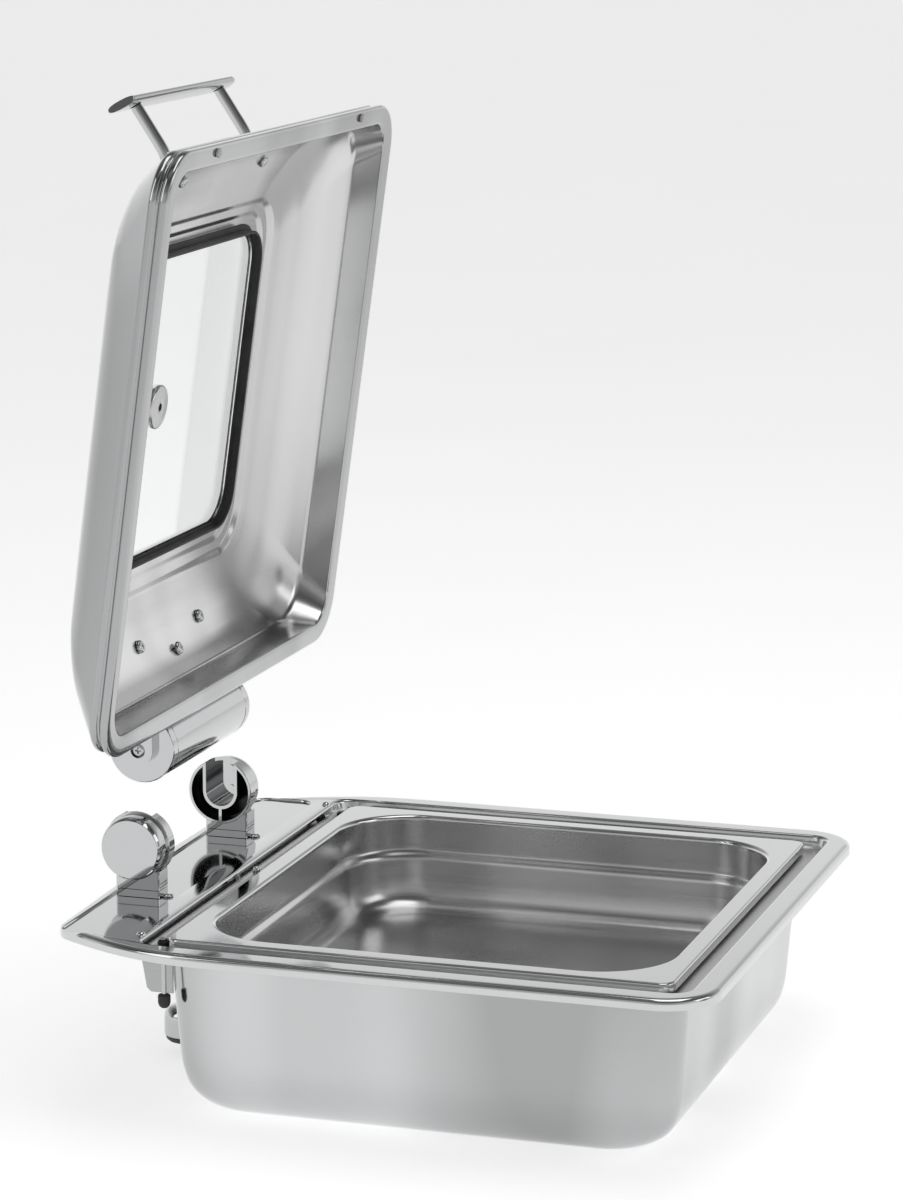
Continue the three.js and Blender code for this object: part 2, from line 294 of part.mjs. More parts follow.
// barrel on the lid
let sleeve = solid(lathe([[20.2, -SLEEVE_HALF], [BARREL_R - 0.4, -SLEEVE_HALF], [BARREL_R, -SLEEVE_HALF + 0.5], [BARREL_R, SLEEVE_HALF - 0.5], [BARREL_R - 0.4, SLEEVE_HALF], [20.2, SLEEVE_HALF], [20.2, -SLEEVE_HALF]], 30, [0, AX_Y, AX_Z], [1, 0, 0]));
add(lid, 'hinge_sleeve', geoOf(sleeve), M.chrome);
for (const [s, n] of [[-1, 'left'], [1, 'right']]) add(lid, `sleeve_bush_${n}`, lathe([[4.08, 46], [19.9, 46], [19.9, 60.8], [4.08, 60.8], [4.08, 46]], 18, [0, AX_Y, AX_Z], [s, 0, 0]), M.brass);
{
  const wall = [[152, LID_Z + 48.6], [159.3, LID_Z + 45.6], [166.4, LID_Z + 41.3], [173.5, LID_Z + 35.5], [183, LID_Z + 24.4], [185.7, LID_Z + 21.2]];
  const arc = []; for (let i = 0; i <= 8; i++) { const a = Math.PI * (1.02 - 0.36 * i / 8); arc.push([AX_Y + (BARREL_R + 0.3) * Math.cos(a), AX_Z + (BARREL_R + 0.3) * Math.sin(a)]); }
  const yz = [...wall, ...arc, [201, AX_Z + 22], [176, LID_Z + 44.6], [155, LID_Z + 52.2]];
  let b = solid(push(yz, -60, 60));
  for (const p of rearScrews) b = b.subtract(solid(cyl(2.3, 0, 9, 8, p, wallRear.toArray())));
  add(lid, 'hinge_bracket', geoOf(b), M.chrome);
}
rearScrews.forEach((p, i) => add(lid, `hinge_screw_${i + 1}`, screw(4.4, 2.4, 2, 7.4, [p[0], p[1] - 0.15, p[2] - 0.26], wallRear.toArray()), M.steel));

// ---- pose ---------------------------------------------------------------------------------
lifted.position.set(0, 0, LIFT);
const pivot = new THREE.Group(); pivot.position.set(0, AX_Y, AX_Z + LIFT); pivot.rotation.x = -OPEN;
lid.position.set(0, -AX_Y, -AX_Z); pivot.add(lid);
root.add(base, lifted, pivot);
export default root;
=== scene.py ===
# Hinged chafing dish: visual model, materials, light and camera.
import math

import bpy
import bmesh
from mathutils import Matrix, Vector


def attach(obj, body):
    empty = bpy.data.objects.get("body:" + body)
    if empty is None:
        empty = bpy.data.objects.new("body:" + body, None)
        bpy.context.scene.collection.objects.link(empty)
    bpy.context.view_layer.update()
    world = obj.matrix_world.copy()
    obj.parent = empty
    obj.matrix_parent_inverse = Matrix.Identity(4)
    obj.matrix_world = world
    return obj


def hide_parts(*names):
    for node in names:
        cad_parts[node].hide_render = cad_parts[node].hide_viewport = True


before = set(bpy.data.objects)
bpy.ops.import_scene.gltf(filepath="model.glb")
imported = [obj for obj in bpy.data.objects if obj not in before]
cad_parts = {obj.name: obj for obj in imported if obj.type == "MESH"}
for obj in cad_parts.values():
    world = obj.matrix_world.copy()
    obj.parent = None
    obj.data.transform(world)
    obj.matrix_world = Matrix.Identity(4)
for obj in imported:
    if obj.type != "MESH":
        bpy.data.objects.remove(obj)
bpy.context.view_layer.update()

# ---- dimensions (millimetres) ------------------------------------------------
H = 118.0
PAN_X, PAN_Y, PAN_DEPTH = 177.0, 162.5, 65.0
BODY_X, BODY_F, BODY_Y = 178.0, 163.5, 170.0
FRAME_X, FRAME_FRONT = 209.5, 192.5
AX_Y, AX_Z, LIFT, OPEN = 219.5, H + 30.6, 61.6, math.radians(82.2)
BARREL_R, SLEEVE_HALF, DISC_IN, DISC_OUT, BOSS_OUT, BOSS_R = 22.5, 61.5, 61.8, 69.3, 75.8, 9.8
CUP_IN, CUP_STEP, CUP_OUT, RING_R, FACE_R, SLOT_R = 69.7, 79.0, 92.0, 22.4, 20.3, 10.15
LID_X, LID_F, LID_R, LID_Z = 207.0, -183.0, 194.0, H + 3
WIN = 86.0
FOOT_X, FOOT_Y, FOOT_Z, PIN_X, PIN_Y = 40.0, 202.0, 8.5, 168.0, 166.5
NC = 14          # points round a corner
SEG = 96         # points round a turned part

LIFTED = Matrix.Translation((0, 0, LIFT * 0.001))
LID_M = (
    Matrix.Translation((0, AX_Y * 0.001, (AX_Z + LIFT) * 0.001))
    @ Matrix.Rotation(-OPEN, 4, "X")
    @ Matrix.Translation((0, -AX_Y * 0.001, -AX_Z * 0.001))
)


# ---- mesh helpers ---------------------------------------------------------------
def new_object(name, verts, faces, tags=None):
    me = bpy.data.meshes.new(name)
    me.from_pydata([tuple(c * 0.001 for c in v) for v in verts], [], faces)
    if tags:
        for p, t in zip(me.polygons, tags):
            p.material_index = t
    bm = bmesh.new()
    bm.from_mesh(me)
    bmesh.ops.remove_doubles(bm, verts=bm.verts, dist=1e-7)
    bmesh.ops.recalc_face_normals(bm, faces=bm.faces)
    bm.to_mesh(me)
    bm.free()
    o = bpy.data.objects.new(name, me)
    bpy.context.scene.collection.objects.link(o)
    return o


def rr(hx, y0, y1, r, n=NC):
    p = []
    for x, y, q in (
        (hx - r, y1 - r, 0),
        (-hx + r, y1 - r, 1),
        (-hx + r, y0 + r, 2),
        (hx - r, y0 + r, 3),
    ):
        for i in range(n + 1):
            a = (q + i / n) * math.pi / 2
            p.append((x + r * math.cos(a), y + r * math.sin(a)))
    return p


def mix_ring(a, b, f):
    return (
        [(p[0] + (q[0] - p[0]) * f, p[1] + (q[1] - p[1]) * f) for p, q in zip(a[0], b[0])],
        a[1] + (b[1] - a[1]) * f,
        a[2],
    )


def gap(a, b):
    dz = b[1] - a[1]
    return max(
        1e-6,
        min(math.sqrt((p[0] - q[0]) ** 2 + (p[1] - q[1]) ** 2 + dz * dz) for p, q in zip(a[0], b[0])),
    )


def round_rings(rings, rads, closed):
    """Rounds the section's corners. rings: (outline, z, tag); rads: one radius each."""
    out, m = [], len(rings)
    for i in range(m):
        r, rad = rings[i], rads[i]
        if rad <= 0 or (not closed and i in (0, m - 1)):
            out.append(r)
            continue
        a, b = rings[i - 1], rings[(i + 1) % m]
        A = mix_ring(r, a, min(rad / gap(r, a), 0.49))
        B = mix_ring(r, b, min(rad / gap(r, b), 0.49))
        n = 3 if rad < 0.8 else (5 if rad < 4 else 7)
        for k in range(n + 1):
            t = k / n
            u = 1 - t
            pts = [
                (u * u * p[0] + 2 * u * t * c[0] + t * t * q[0], u * u * p[1] + 2 * u * t * c[1] + t * t * q[1])
                for p, c, q in zip(A[0], r[0], B[0])
            ]
            out.append((pts, u * u * A[1] + 2 * u * t * r[1] + t * t * B[1], r[2]))
    return out


def loft(name, rings, closed):
    rings = [r if len(r) > 2 else (r[0], r[1], 0) for r in rings]
    k, m = len(rings[0][0]), len(rings)
    verts = [(x, y, z) for o, z, _ in rings for x, y in o]
    faces, tags = [], []
    for i in range(m if closed else m - 1):
        for j in range(k):
            n = (i + 1) % m
            faces.append((i * k + j, i * k + (j + 1) % k, n * k + (j + 1) % k, n * k + j))
            tags.append(rings[i][2])
    if not closed:
        faces.append(tuple(range(k)))
        faces.append(tuple((m - 1) * k + j for j in range(k)))
        tags += [rings[0][2], rings[-1][2]]
    return new_object(name, verts, faces, tags)


def prism(o, z0, z1):
    return loft("cut", [(o, z0), (o, z1)], False)


def round_profile(p, rads):
    if not isinstance(rads, (list, tuple)):
        rads = [rads] * len(p)
    out = []
    for i in range(len(p)):
        if i in (0, len(p) - 1) or rads[i] <= 0:
            out.append(p[i])
            continue
        c, a, b = p[i], p[i - 1], p[i + 1]
        la, lb = math.dist(c, a), math.dist(c, b)
        fa, fb = min(rads[i] / la, 0.49), min(rads[i] / lb, 0.49)
        A = [c[k] + (a[k] - c[k]) * fa for k in (0, 1)]
        B = [c[k] + (b[k] - c[k]) * fb for k in (0, 1)]
        n = 4 if rads[i] < 2 else 7
        for s in range(n + 1):
            t = s / n
            u = 1 - t
            out.append(tuple(u * u * A[k] + 2 * u * t * c[k] + t * t * B[k] for k in (0, 1)))
    return out


def lathe(name, profile, seg=SEG, p=(0, 0, 0), d=(0, 0, 1), soften=0.0):
    """profile: (radius, distance along d). Closed if it ends where it starts, else it runs from axis to axis."""
    ring = math.dist(profile[0], profile[-1]) < 1e-6
    if soften:
        profile = round_profile(profile, soften)
    if ring:
        profile = profile[:-1]
    q = Vector((0, 0, 1)).rotation_difference(Vector(d).normalized())
    verts, idx = [], []
    for r, z in profile:
        if r < 1e-6:
            v = q @ Vector((0, 0, z)) + Vector(p)
            idx.append([len(verts)] * seg)
            verts.append(tuple(v))
        else:
            row = []
            for i in range(seg):
                a = 2 * math.pi * (i + 0.5) / seg
                v = q @ Vector((r * math.cos(a), r * math.sin(a), z)) + Vector(p)
                row.append(len(verts))
                verts.append(tuple(v))
            idx.append(row)
    faces = []
    m = len(profile)
    for i in range(m if ring else m - 1):
        a, b = idx[i], idx[(i + 1) % m]
        for j in range(seg):
            n = (j + 1) % seg
            f = []
            for v in (a[j], a[n], b[n], b[j]):
                if v not in f:
                    f.append(v)
            if len(f) > 2:
                faces.append(tuple(f))
    return new_object(name, verts, faces)


def cyl(r, z0, z1, p=(0, 0, 0), d=(0, 0, 1), seg=48):
    return lathe("cut", [(0, z0), (r, z0), (r, z1), (0, z1)], seg, p, d)


def block(x0, x1, y0, y1, z0, z1):
    return prism([(x1, y0), (x1, y1), (x0, y1), (x0, y0)], z0, z1)


def push(name, yz, x0, x1):
    k = len(yz)
    verts = [(x0, y, z) for y, z in yz] + [(x1, y, z) for y, z in yz]
    faces = [(j, (j + 1) % k, k + (j + 1) % k, k + j) for j in range(k)]
    faces += [tuple(range(k)), tuple(range(k, 2 * k))]
    return new_object(name, verts, faces)


def boolean(o, op, *others):
    for c in others:
        m = o.modifiers.new("cut", "BOOLEAN")
        m.operation, m.object = op, c
        for solver in ("MANIFOLD", "EXACT"):
            m.solver = solver
            dg = bpy.context.evaluated_depsgraph_get()
            me = bpy.data.meshes.new_from_object(o.evaluated_get(dg))
            if len(me.polygons) > 3 and len(me.polygons) != len(o.data.polygons):
                break
        o.modifiers.clear()
        o.data = me
        bpy.data.objects.remove(c, do_unlink=True)
    return o


def cut(o, *c):
    return boolean(o, "DIFFERENCE", *c)


def join(o, *c):
    return boolean(o, "UNION", *c)


def keep(o, *c):
    return boolean(o, "INTERSECT", *c)


# ---- materials ---------------------------------------------------------------------
def node(nt, kind, **values):
    n = nt.nodes.new(kind)
    for k, v in values.items():
        if k in n.inputs:
            n.inputs[k].default_value = v
        else:
            setattr(n, k, v)
    return n


def base_material(name):
    m = bpy.data.materials.new(name)
    m.use_nodes = True
    nt = m.node_tree
    return m, nt, nt.nodes["Principled BSDF"]


def coords(nt, scale, rotation=(0, 0, 0)):
    tc = node(nt, "ShaderNodeTexCoord")
    turn = node(nt, "ShaderNodeMapping")
    turn.inputs["Rotation"].default_value = rotation
    nt.links.new(tc.outputs["Object"], turn.inputs["Vector"])
    mp = node(nt, "ShaderNodeMapping")
    mp.inputs["Scale"].default_value = scale
    nt.links.new(turn.outputs["Vector"], mp.inputs["Vector"])
    return mp.outputs["Vector"]


def noise(nt, vec, scale, detail=3.0, rough=0.55):
    n = node(nt, "ShaderNodeTexNoise")
    n.inputs["Scale"].default_value = scale
    n.inputs["Detail"].default_value = detail
    n.inputs["Roughness"].default_value = rough
    nt.links.new(vec, n.inputs["Vector"])
    return n.outputs["Fac"]


def remap(nt, fac, lo, hi, a=0.3, b=0.7):
    r = node(nt, "ShaderNodeMapRange")
    r.inputs["From Min"].default_value = a
    r.inputs["From Max"].default_value = b
    r.inputs["To Min"].default_value = lo
    r.inputs["To Max"].default_value = hi
    nt.links.new(fac, r.inputs["Value"])
    return r.outputs["Result"]


def shade(nt, fac, dark, light, a=0.3, b=0.7):
    r = node(nt, "ShaderNodeValToRGB")
    r.color_ramp.elements[0].position = a
    r.color_ramp.elements[0].color = (*dark, 1)
    r.color_ramp.elements[1].position = b
    r.color_ramp.elements[1].color = (*light, 1)
    nt.links.new(fac, r.inputs["Fac"])
    return r.outputs["Color"]


def bump(nt, fac, strength, distance, normal=None):
    b = node(nt, "ShaderNodeBump")
    b.inputs["Strength"].default_value = strength
    b.inputs["Distance"].default_value = distance
    nt.links.new(fac, b.inputs["Height"])
    if normal:
        nt.links.new(normal, b.inputs["Normal"])
    return b.outputs["Normal"]


def steel(name, light, rough, streak=(1, 1, 1), streak_amount=0.0, rotation=(0, 0, 0), wave=0.0, vary=0.03, bands=None, depth=0.2):
    """Metal with a soft sheet waviness, smudges that change the gloss, and fine brushing along the short streak axis;
    with bands, painted reflections as broad light and dark patches in the base colour.
    """
    m, nt, bsdf = base_material(name)
    bsdf.inputs["Metallic"].default_value = 1.0
    plain = coords(nt, (1, 1, 1), rotation)
    brushed = coords(nt, streak, rotation)
    soft = noise(nt, plain, 9.0, 2.0)
    smudge = noise(nt, plain, 38.0, 4.0, 0.6)
    fine = noise(nt, brushed, 1.0, 4.0, 0.7)
    mx = node(nt, "ShaderNodeMath", operation="MULTIPLY_ADD")
    nt.links.new(fine, mx.inputs[0])
    mx.inputs[1].default_value = 0.75
    half = node(nt, "ShaderNodeMath", operation="MULTIPLY")
    nt.links.new(smudge, half.inputs[0])
    half.inputs[1].default_value = 0.25
    nt.links.new(half.outputs[0], mx.inputs[2])
    mixed = mx.outputs[0]
    dark = tuple(c - vary for c in light)
    tint = shade(nt, mixed, dark, light)
    if bands:
        # painted reflection: broad light and dark patches multiplied into the base colour along the sheet
        painted_reflection_bands = shade(nt, noise(nt, coords(nt, bands, rotation), 1.0, 1.5, 0.4), (1 - depth * 1.6,) * 3, (1.0,) * 3, 0.36, 0.62)
        mul = node(nt, "ShaderNodeMix", data_type="RGBA", blend_type="MULTIPLY")
        mul.inputs["Factor"].default_value = 1.0
        nt.links.new(tint, mul.inputs["A"])
        nt.links.new(painted_reflection_bands, mul.inputs["B"])
        tint = mul.outputs["Result"]
    nt.links.new(tint, bsdf.inputs["Base Color"])
    nt.links.new(remap(nt, mixed, rough * 0.88, rough * 1.14), bsdf.inputs["Roughness"])
    n = None
    if wave:
        n = bump(nt, soft, wave, 0.002)
    if streak_amount:
        n = bump(nt, fine, streak_amount, 0.00012, n)
    else:
        n = bump(nt, smudge, 0.015, 0.0002, n)
    nt.links.new(n, bsdf.inputs["Normal"])
    return m


LID_ROT = (OPEN, 0, 0)
HANDLE = steel("chrome_trim_handle", (0.44, 0.445, 0.45), 0.11, (30, 900, 900), 0.01, wave=0.012, vary=0.05)
POLISHED = steel("polished_steel", (0.62, 0.625, 0.63), 0.07, (30, 1400, 1400), 0.006, wave=0.01, vary=0.02)
# LID_OUT, BODY, SATIN and SATIN_LID carry painted reflection bands through bands= and depth=
LID_OUT = steel("polished_steel_lid", (0.50, 0.505, 0.51), 0.10, (1400, 18, 1400), 0.012, LID_ROT, wave=0.01, vary=0.03, bands=(14, 1.2, 14), depth=0.16)
BODY = steel("polished_steel_body", (0.63, 0.635, 0.64), 0.13, (12, 12, 1400), 0.008, wave=0.015, vary=0.02, bands=(7, 7, 1.2), depth=0.24)
SATIN = steel("satin_steel", (0.70, 0.70, 0.70), 0.24, (6, 6, 700), 0.0006, wave=0.003, vary=0.012, bands=(11, 11, 7), depth=0.2)
SATIN_LID = steel("satin_steel_lid", (0.73, 0.73, 0.73), 0.20, (1300, 7, 1300), 0.014, LID_ROT, wave=0.008, vary=0.035, bands=(13, 2.2, 13), depth=0.2)
# rougher copy of the frame steel for the channel walls, with a brighter base colour that is painted light lifting the
# shade in the recess
CHANNEL_PAINTED_LIGHT = steel("polished_steel_channel_painted_light", (0.80, 0.80, 0.80), 0.42, (60, 60, 900), 0.004, vary=0.04)
CHROME = steel("chrome_trim", (0.55, 0.555, 0.56), 0.045, (60, 60, 60), 0.0, vary=0.015)
SHEET = steel("sheet_steel", (0.46, 0.465, 0.465), 0.34, (500, 30, 500), 0.08, vary=0.06)
PLAIN = steel("plain_steel", (0.52, 0.53, 0.54), 0.20, (400, 400, 60), 0.05, vary=0.05)
VENT = steel("satin_steel_vent", (0.54, 0.54, 0.545), 0.22, (400, 400, 60), 0.02, vary=0.05)
BRASS = steel("bush_brass", (0.72, 0.58, 0.30), 0.28, (500, 60, 60), 0.08, vary=0.05)


# near-black copy of the chrome for the inside of the post cups: painted shade in the hollow
CUP_PAINTED_SHADE = steel("chrome_trim_painted_shade", (0.05, 0.05, 0.052), 0.22, (60, 60, 60), 0.0, vary=0.01)


def rubber(name, dark, light, rough):
    m, nt, bsdf = base_material(name)
    v = coords(nt, (1, 1, 1))
    grain = noise(nt, v, 900.0, 4.0, 0.65)
    dust = noise(nt, v, 60.0, 3.0)
    nt.links.new(shade(nt, dust, dark, light), bsdf.inputs["Base Color"])
    nt.links.new(remap(nt, grain, rough - 0.08, rough + 0.12), bsdf.inputs["Roughness"])
    nt.links.new(bump(nt, grain, 0.25, 0.0001), bsdf.inputs["Normal"])
    return m


RUBBER = rubber("black_rubber", (0.012, 0.012, 0.013), (0.028, 0.028, 0.03), 0.55)


def glass():
    m, nt, bsdf = base_material("window_glass")
    bsdf.inputs["Base Color"].default_value = (0.97, 0.985, 0.98, 1)
    bsdf.inputs["Transmission Weight"].default_value = 1.0
    bsdf.inputs["IOR"].default_value = 1.48
    v = coords(nt, (1, 1, 1))
    film = noise(nt, v, 30.0, 4.0, 0.6)
    nt.links.new(remap(nt, film, 0.0, 0.03), bsdf.inputs["Roughness"])
    nt.links.new(bump(nt, noise(nt, v, 12.0, 2.0), 0.01, 0.001), bsdf.inputs["Normal"])
    return m


GLASS = glass()


def silicone():
    m, nt, bsdf = base_material("clear_silicone")
    v = coords(nt, (1, 1, 1))
    cloud = noise(nt, v, 220.0, 3.0)
    nt.links.new(shade(nt, cloud, (0.50, 0.50, 0.48), (0.60, 0.60, 0.58)), bsdf.inputs["Base Color"])
    nt.links.new(remap(nt, cloud, 0.28, 0.42), bsdf.inputs["Roughness"])
    bsdf.inputs["Transmission Weight"].default_value = 0.35
    bsdf.inputs["IOR"].default_value = 1.41
    nt.links.new(bump(nt, cloud, 0.08, 0.0002), bsdf.inputs["Normal"])
    return m


SILICONE = silicone()


# ---- finishing one piece -----------------------------------------------------------
def piece(o, name, body, nodes, mats, matrix=None, bevel=0.25, angle=32, segments=2):
    o.name = name
    o.data.name = name
    if matrix is not None:
        o.data.transform(matrix)
    bm = bmesh.new()
    bm.from_mesh(o.data)
    bmesh.ops.remove_doubles(bm, verts=bm.verts, dist=2e-7)
    bmesh.ops.dissolve_degenerate(bm, edges=bm.edges, dist=1e-7)
    for f in bm.faces:
        f.smooth = True
    bm.to_mesh(o.data)
    bm.free()
    if not isinstance(mats, (list, tuple)):
        mats = [mats]
    idx = [min(p.material_index, len(mats) - 1) for p in o.data.polygons]
    o.data.materials.clear()
    for m in mats:
        o.data.materials.append(m)
    for p, i in zip(o.data.polygons, idx):
        p.material_index = i
    if bevel:
        b = o.modifiers.new("edges", "BEVEL")
        b.width, b.segments, b.limit_method = bevel * 0.001, segments, "ANGLE"
        b.angle_limit = math.radians(angle)
        b.use_clamp_overlap = True
        b.harden_normals = False
        b.miter_outer = "MITER_ARC"
    w = o.modifiers.new("normals", "WEIGHTED_NORMAL")
    w.mode, w.weight, w.keep_sharp = "FACE_AREA", 50, True
    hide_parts(*nodes)
    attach(o, body)
    return o


def screw(hr, hh, sr, sl, p, d, seg=48):
    """Pan head with a cross recess; the shank runs along d from p."""
    prof = [(0, -hh), (hr * 0.55, -hh), (hr * 0.86, -hh * 0.82), (hr, -hh * 0.35), (hr, 0), (sr, 0), (sr, sl - 0.5), (sr - 0.5, sl), (0, sl)]
    o = lathe("screw", round_profile(prof, [0, 0.6, 0.7, 0.5, 0.15, 0.15, 0.1, 0.1, 0]), seg, p, d)
    q = Vector((0, 0, 1)).rotation_difference(Vector(d).normalized())
    for a in (0, 1):
        ex, ey = (hr * 0.52, hr * 0.13) if a else (hr * 0.13, hr * 0.52)
        t = 0.55
        v = []
        for z, s in ((-hh - 0.6, 1.0), (-hh * 0.35, t)):
            for x, y in ((-ex, -ey), (ex, -ey), (ex, ey), (-ex, ey)):
                w = q @ Vector((x * s, y * s, z)) + Vector(p)
                v.append(tuple(w))
        c = new_object("cut", v, [(0, 1, 2, 3), (4, 5, 6, 7), (0, 1, 5, 4), (1, 2, 6, 5), (2, 3, 7, 6), (3, 0, 4, 7)])
        cut(o, c)
    return o


# ---- top frame -------------------------------------------------------------------------
SIDE0 = [(185, 212, 158), (194.5, 193, 147), (203.5, 168, 134), (208.3, 144, 118), (209.5, 112, 95)]


def spline(pts, steps):
    out = []
    for i in range(len(pts) - 1):
        a, b, c, d = pts[max(i - 1, 0)], pts[i], pts[i + 1], pts[min(i + 2, len(pts) - 1)]
        for s in range(steps):
            t = s / steps
            out.append(
                tuple(
                    0.5 * (2 * b[k] + (c[k] - a[k]) * t + (2 * a[k] - 5 * b[k] + 4 * c[k] - d[k]) * t * t + (3 * b[k] - a[k] - 3 * c[k] + d[k]) * t ** 3)
                    for k in range(len(b))
                )
            )
    out.append(tuple(pts[-1]))
    return out


SIDE = spline(SIDE0, 5)
REAR = [(90 - 15 * i, 241 - ((90 - 15 * i) / 90) ** 2) for i in range(13)]


def skirt_outline():
    b = []
    for i in range(NC + 1):
        t = i / NC
        u = 1 - t
        b.append((u * u * 178.5 + 2 * u * t * 170.5 + t * t * 159, u * u * 223.5 + 2 * u * t * 238.5 + t * t * 237.9))
    p = b + REAR + [(-x, y) for x, y in reversed(b)] + [(-x, y) for x, y, _ in SIDE]
    r = 36
    for q in (1, 1.5):
        for i in range(NC + 1):
            a = math.pi * (q + i / NC / 2)
            cx = -FRAME_X + r if q == 1 else FRAME_X - r
            p.append((cx + r * math.cos(a), -FRAME_FRONT + r + r * math.sin(a)))
    return p + [(x, y) for x, y, _ in reversed(SIDE)]


def inset(p, d):
    out = []
    for i, (x, y) in enumerate(p):
        ax, ay = p[i - 1]
        bx, by = p[(i + 1) % len(p)]
        l = math.hypot(bx - ax, by - ay)
        out.append((x - d * (by - ay) / l, y + d * (bx - ax) / l))
    return out


def recess(hx, hy, r):
    c, q, k = rr(hx, -hy, hy, r), NC + 1, (hy - r - 2) / 161
    return (
        c[:q]
        + [(x, hy) for x, _ in REAR]
        + c[q : 2 * q]
        + [(-hx, s[2] * k) for s in SIDE]
        + c[2 * q :]
        + [(hx, s[2] * k) for s in reversed(SIDE)]
    )


S = skirt_outline()
rings, rads = [], []


def ring(outline, z, rad, tag=0):
    rings.append((outline, H + z, tag))
    rads.append(rad)


ring(S, -7, 0.25)
ring(S, -2.6, 1.6)
ring(inset(S, 0.9), -0.8, 1.2)
ring(inset(S, 3), 0, 1.4)
# recess rings; the channel wall bands (tag 1) take the brighter channel steel, painted light in the recess
for hx, hy, r, z, rad in (
    (193.4, 177, 14, 0, 0.7), (192.2, 175.8, 13.5, -1, 0.9), (190.9, 174.5, 12.5, -6.8, 1.2), (189.6, 173.2, 12, -8, 1.2),
    (174.6, 160.1, 10, -8, 1.2), (173.4, 158.9, 9.5, -6.8, 1.2), (173.1, 158.6, 9.5, -3, 0.8), (171.9, 157.4, 9.5, -1.9, 0.8),
    (167.2, 152.7, 30, -1.9, 0.3), (167.2, 152.7, 30, -3.1, 0.3), (171.3, 156.8, 9, -3.1, 0.5), (171.9, 157.4, 9, -4.2, 0.5),
    (172.2, 157.7, 9, -7.8, 0.8), (173.6, 159.1, 9.5, -9.2, 0.8), (190.4, 174, 13, -9.2, 0.8), (192.1, 175.7, 13.5, -7.4, 0.8),
    (193.4, 177, 14, -1.8, 0.5), (194.2, 177.8, 14, -1.2, 0.5),
):
    ring(recess(hx, hy, r), z, rad, 1 if -8.1 < z < -2.9 and 173 < hx < 191 else 0)
ring(inset(S, 3.2), -1.2, 0.5)
ring(inset(S, 1.7), -1.8, 0.5)
ring(inset(S, 1.2), -3, 0.5)
ring(inset(S, 1.2), -7, 0.25)
top = loft("top_frame", round_rings(rings, rads, True), True)
cap = []
for i in range(17):
    a = -math.pi / 2 + math.pi * i / 16
    cap.append((3.2 * math.cos(a), 172 + 3.2 * math.sin(a)))
bead = lathe("bead", [(0, -175.2)] + [(x, -(z)) for x, z in reversed(cap[1:-1])] + [(x, z) for x, z in cap[1:-1]] + [(0, 175.2)], 48, (0, 179.8, H - 1.2), (1, 0, 0))
join(top, bead)
join(top, prism(rr(180.2, 189.8, 233.9, 11.2), H - 2.8, H - 0.4))
tray = [(rr(178.0, 192.0, 231.7, 9), H - 1.6, 0), (rr(178.9, 191.1, 232.6, 10), H - 1.55, 0), (rr(179.2, 190.8, 232.9, 10.2), H - 0.5, 0), (rr(180.1, 189.9, 233.8, 11), H + 0.2, 0), (rr(181.2, 188.8, 234.9, 12), H + 1.0, 0)]
cut(top, loft("cut", round_rings(tray, [0, 0.9, 0.5, 0.4, 0], False), False))
for s in (-1, 1):
    cut(top, cyl(1.9, -14, -2, (s * PIN_X, PIN_Y, H)))
    for y in (208, 224):
        cut(top, cyl(2.4, -9, 2, (s * 80, y, H)))
piece(top, "frame_skin", "base", ["top_frame"], [POLISHED, CHANNEL_PAINTED_LIGHT], bevel=0.18, angle=40)


# ---- water pan and food pan -------------------------------------------------------------
def pan_rings(fn, rows):
    return [(fn(i, r), z, t) for i, r, z, _, t in rows], [row[3] for row in rows]


B = lambda i, r: rr(BODY_X - i, -BODY_F + i, BODY_Y - i, r, 18)
rows = [
    (38, 22, 0, 0, 0), (26, 28, 1.8, 8, 0), (16, 33, 7, 7, 0), (8.5, 36, 16.5, 7, 0), (5, 37.5, 30, 8, 0), (1.2, 39, 80, 10, 0),
    (0, 40, H - 9.5, 0.3, 0), (1.4, 38.6, H - 9.5, 0.3, 0), (2.6, 37.6, 80, 10, 0), (6.5, 36, 30, 8, 0),
    (10, 34.6, 17.4, 7, 0), (17.3, 31.7, 8.4, 7, 0), (26.8, 27.2, 3.3, 8, 0), (38, 22, 1.5, 0, 0),
]
body = loft("water_pan", round_rings(*pan_rings(B, rows), False), False)
piece(body, "water_pan_skin", "base", ["water_pan"], BODY, bevel=0, angle=40)

Q = lambda i, r: rr(PAN_X - i, -PAN_Y + i, PAN_Y - i, r, 20)
D = PAN_DEPTH
rows = [
    (36, 34, H - D + 0.9, 0, 1), (28, 40, H - D + 2.3, 6, 1), (22, 43.5, H - D + 7.5, 6, 1), (19.6, 45, H - D + 17, 6, 1),
    (17.9, 46.5, H - 30, 1.2, 1), (17.3, 47, H - 28, 1.2, 1), (14.9, 49, H - 24.8, 1.6, 1), (14.6, 49, H - 23, 1.2, 1),
    (13.9, 50, H - 2.2, 1.2, 0), (13.2, 50.5, H - 0.7, 0.8, 0), (11.9, 51, H, 0.9, 0), (1.5, 7.5, H, 0.7, 0), (0.4, 8.4, H - 0.5, 0.5, 0),
    (0, 8.8, H - 1.5, 0.6, 0), (0, 8.8, H - 5.6, 0.15, 0), (0.9, 8, H - 5.6, 0.15, 0), (0.9, 8, H - 1.8, 0.4, 0), (1.8, 7.5, H - 0.95, 0.4, 0),
    (12.3, 50, H - 0.95, 0.5, 0), (13.1, 50, H - 2.6, 0.6, 1), (13.8, 49.5, H - 23.4, 1.2, 1), (14.3, 49, H - 25.4, 1.2, 1),
    (16.4, 47.5, H - 28.6, 1.2, 1), (17, 47, H - 30.4, 1.2, 1), (18.7, 45.5, H - D + 16.6, 6, 1), (21.2, 44, H - D + 7, 6, 1),
    (27.5, 40, H - D + 1.4, 6, 1), (36, 34, H - D, 0, 1),
]
pan = loft("food_pan", round_rings(*pan_rings(Q, rows), False), False)
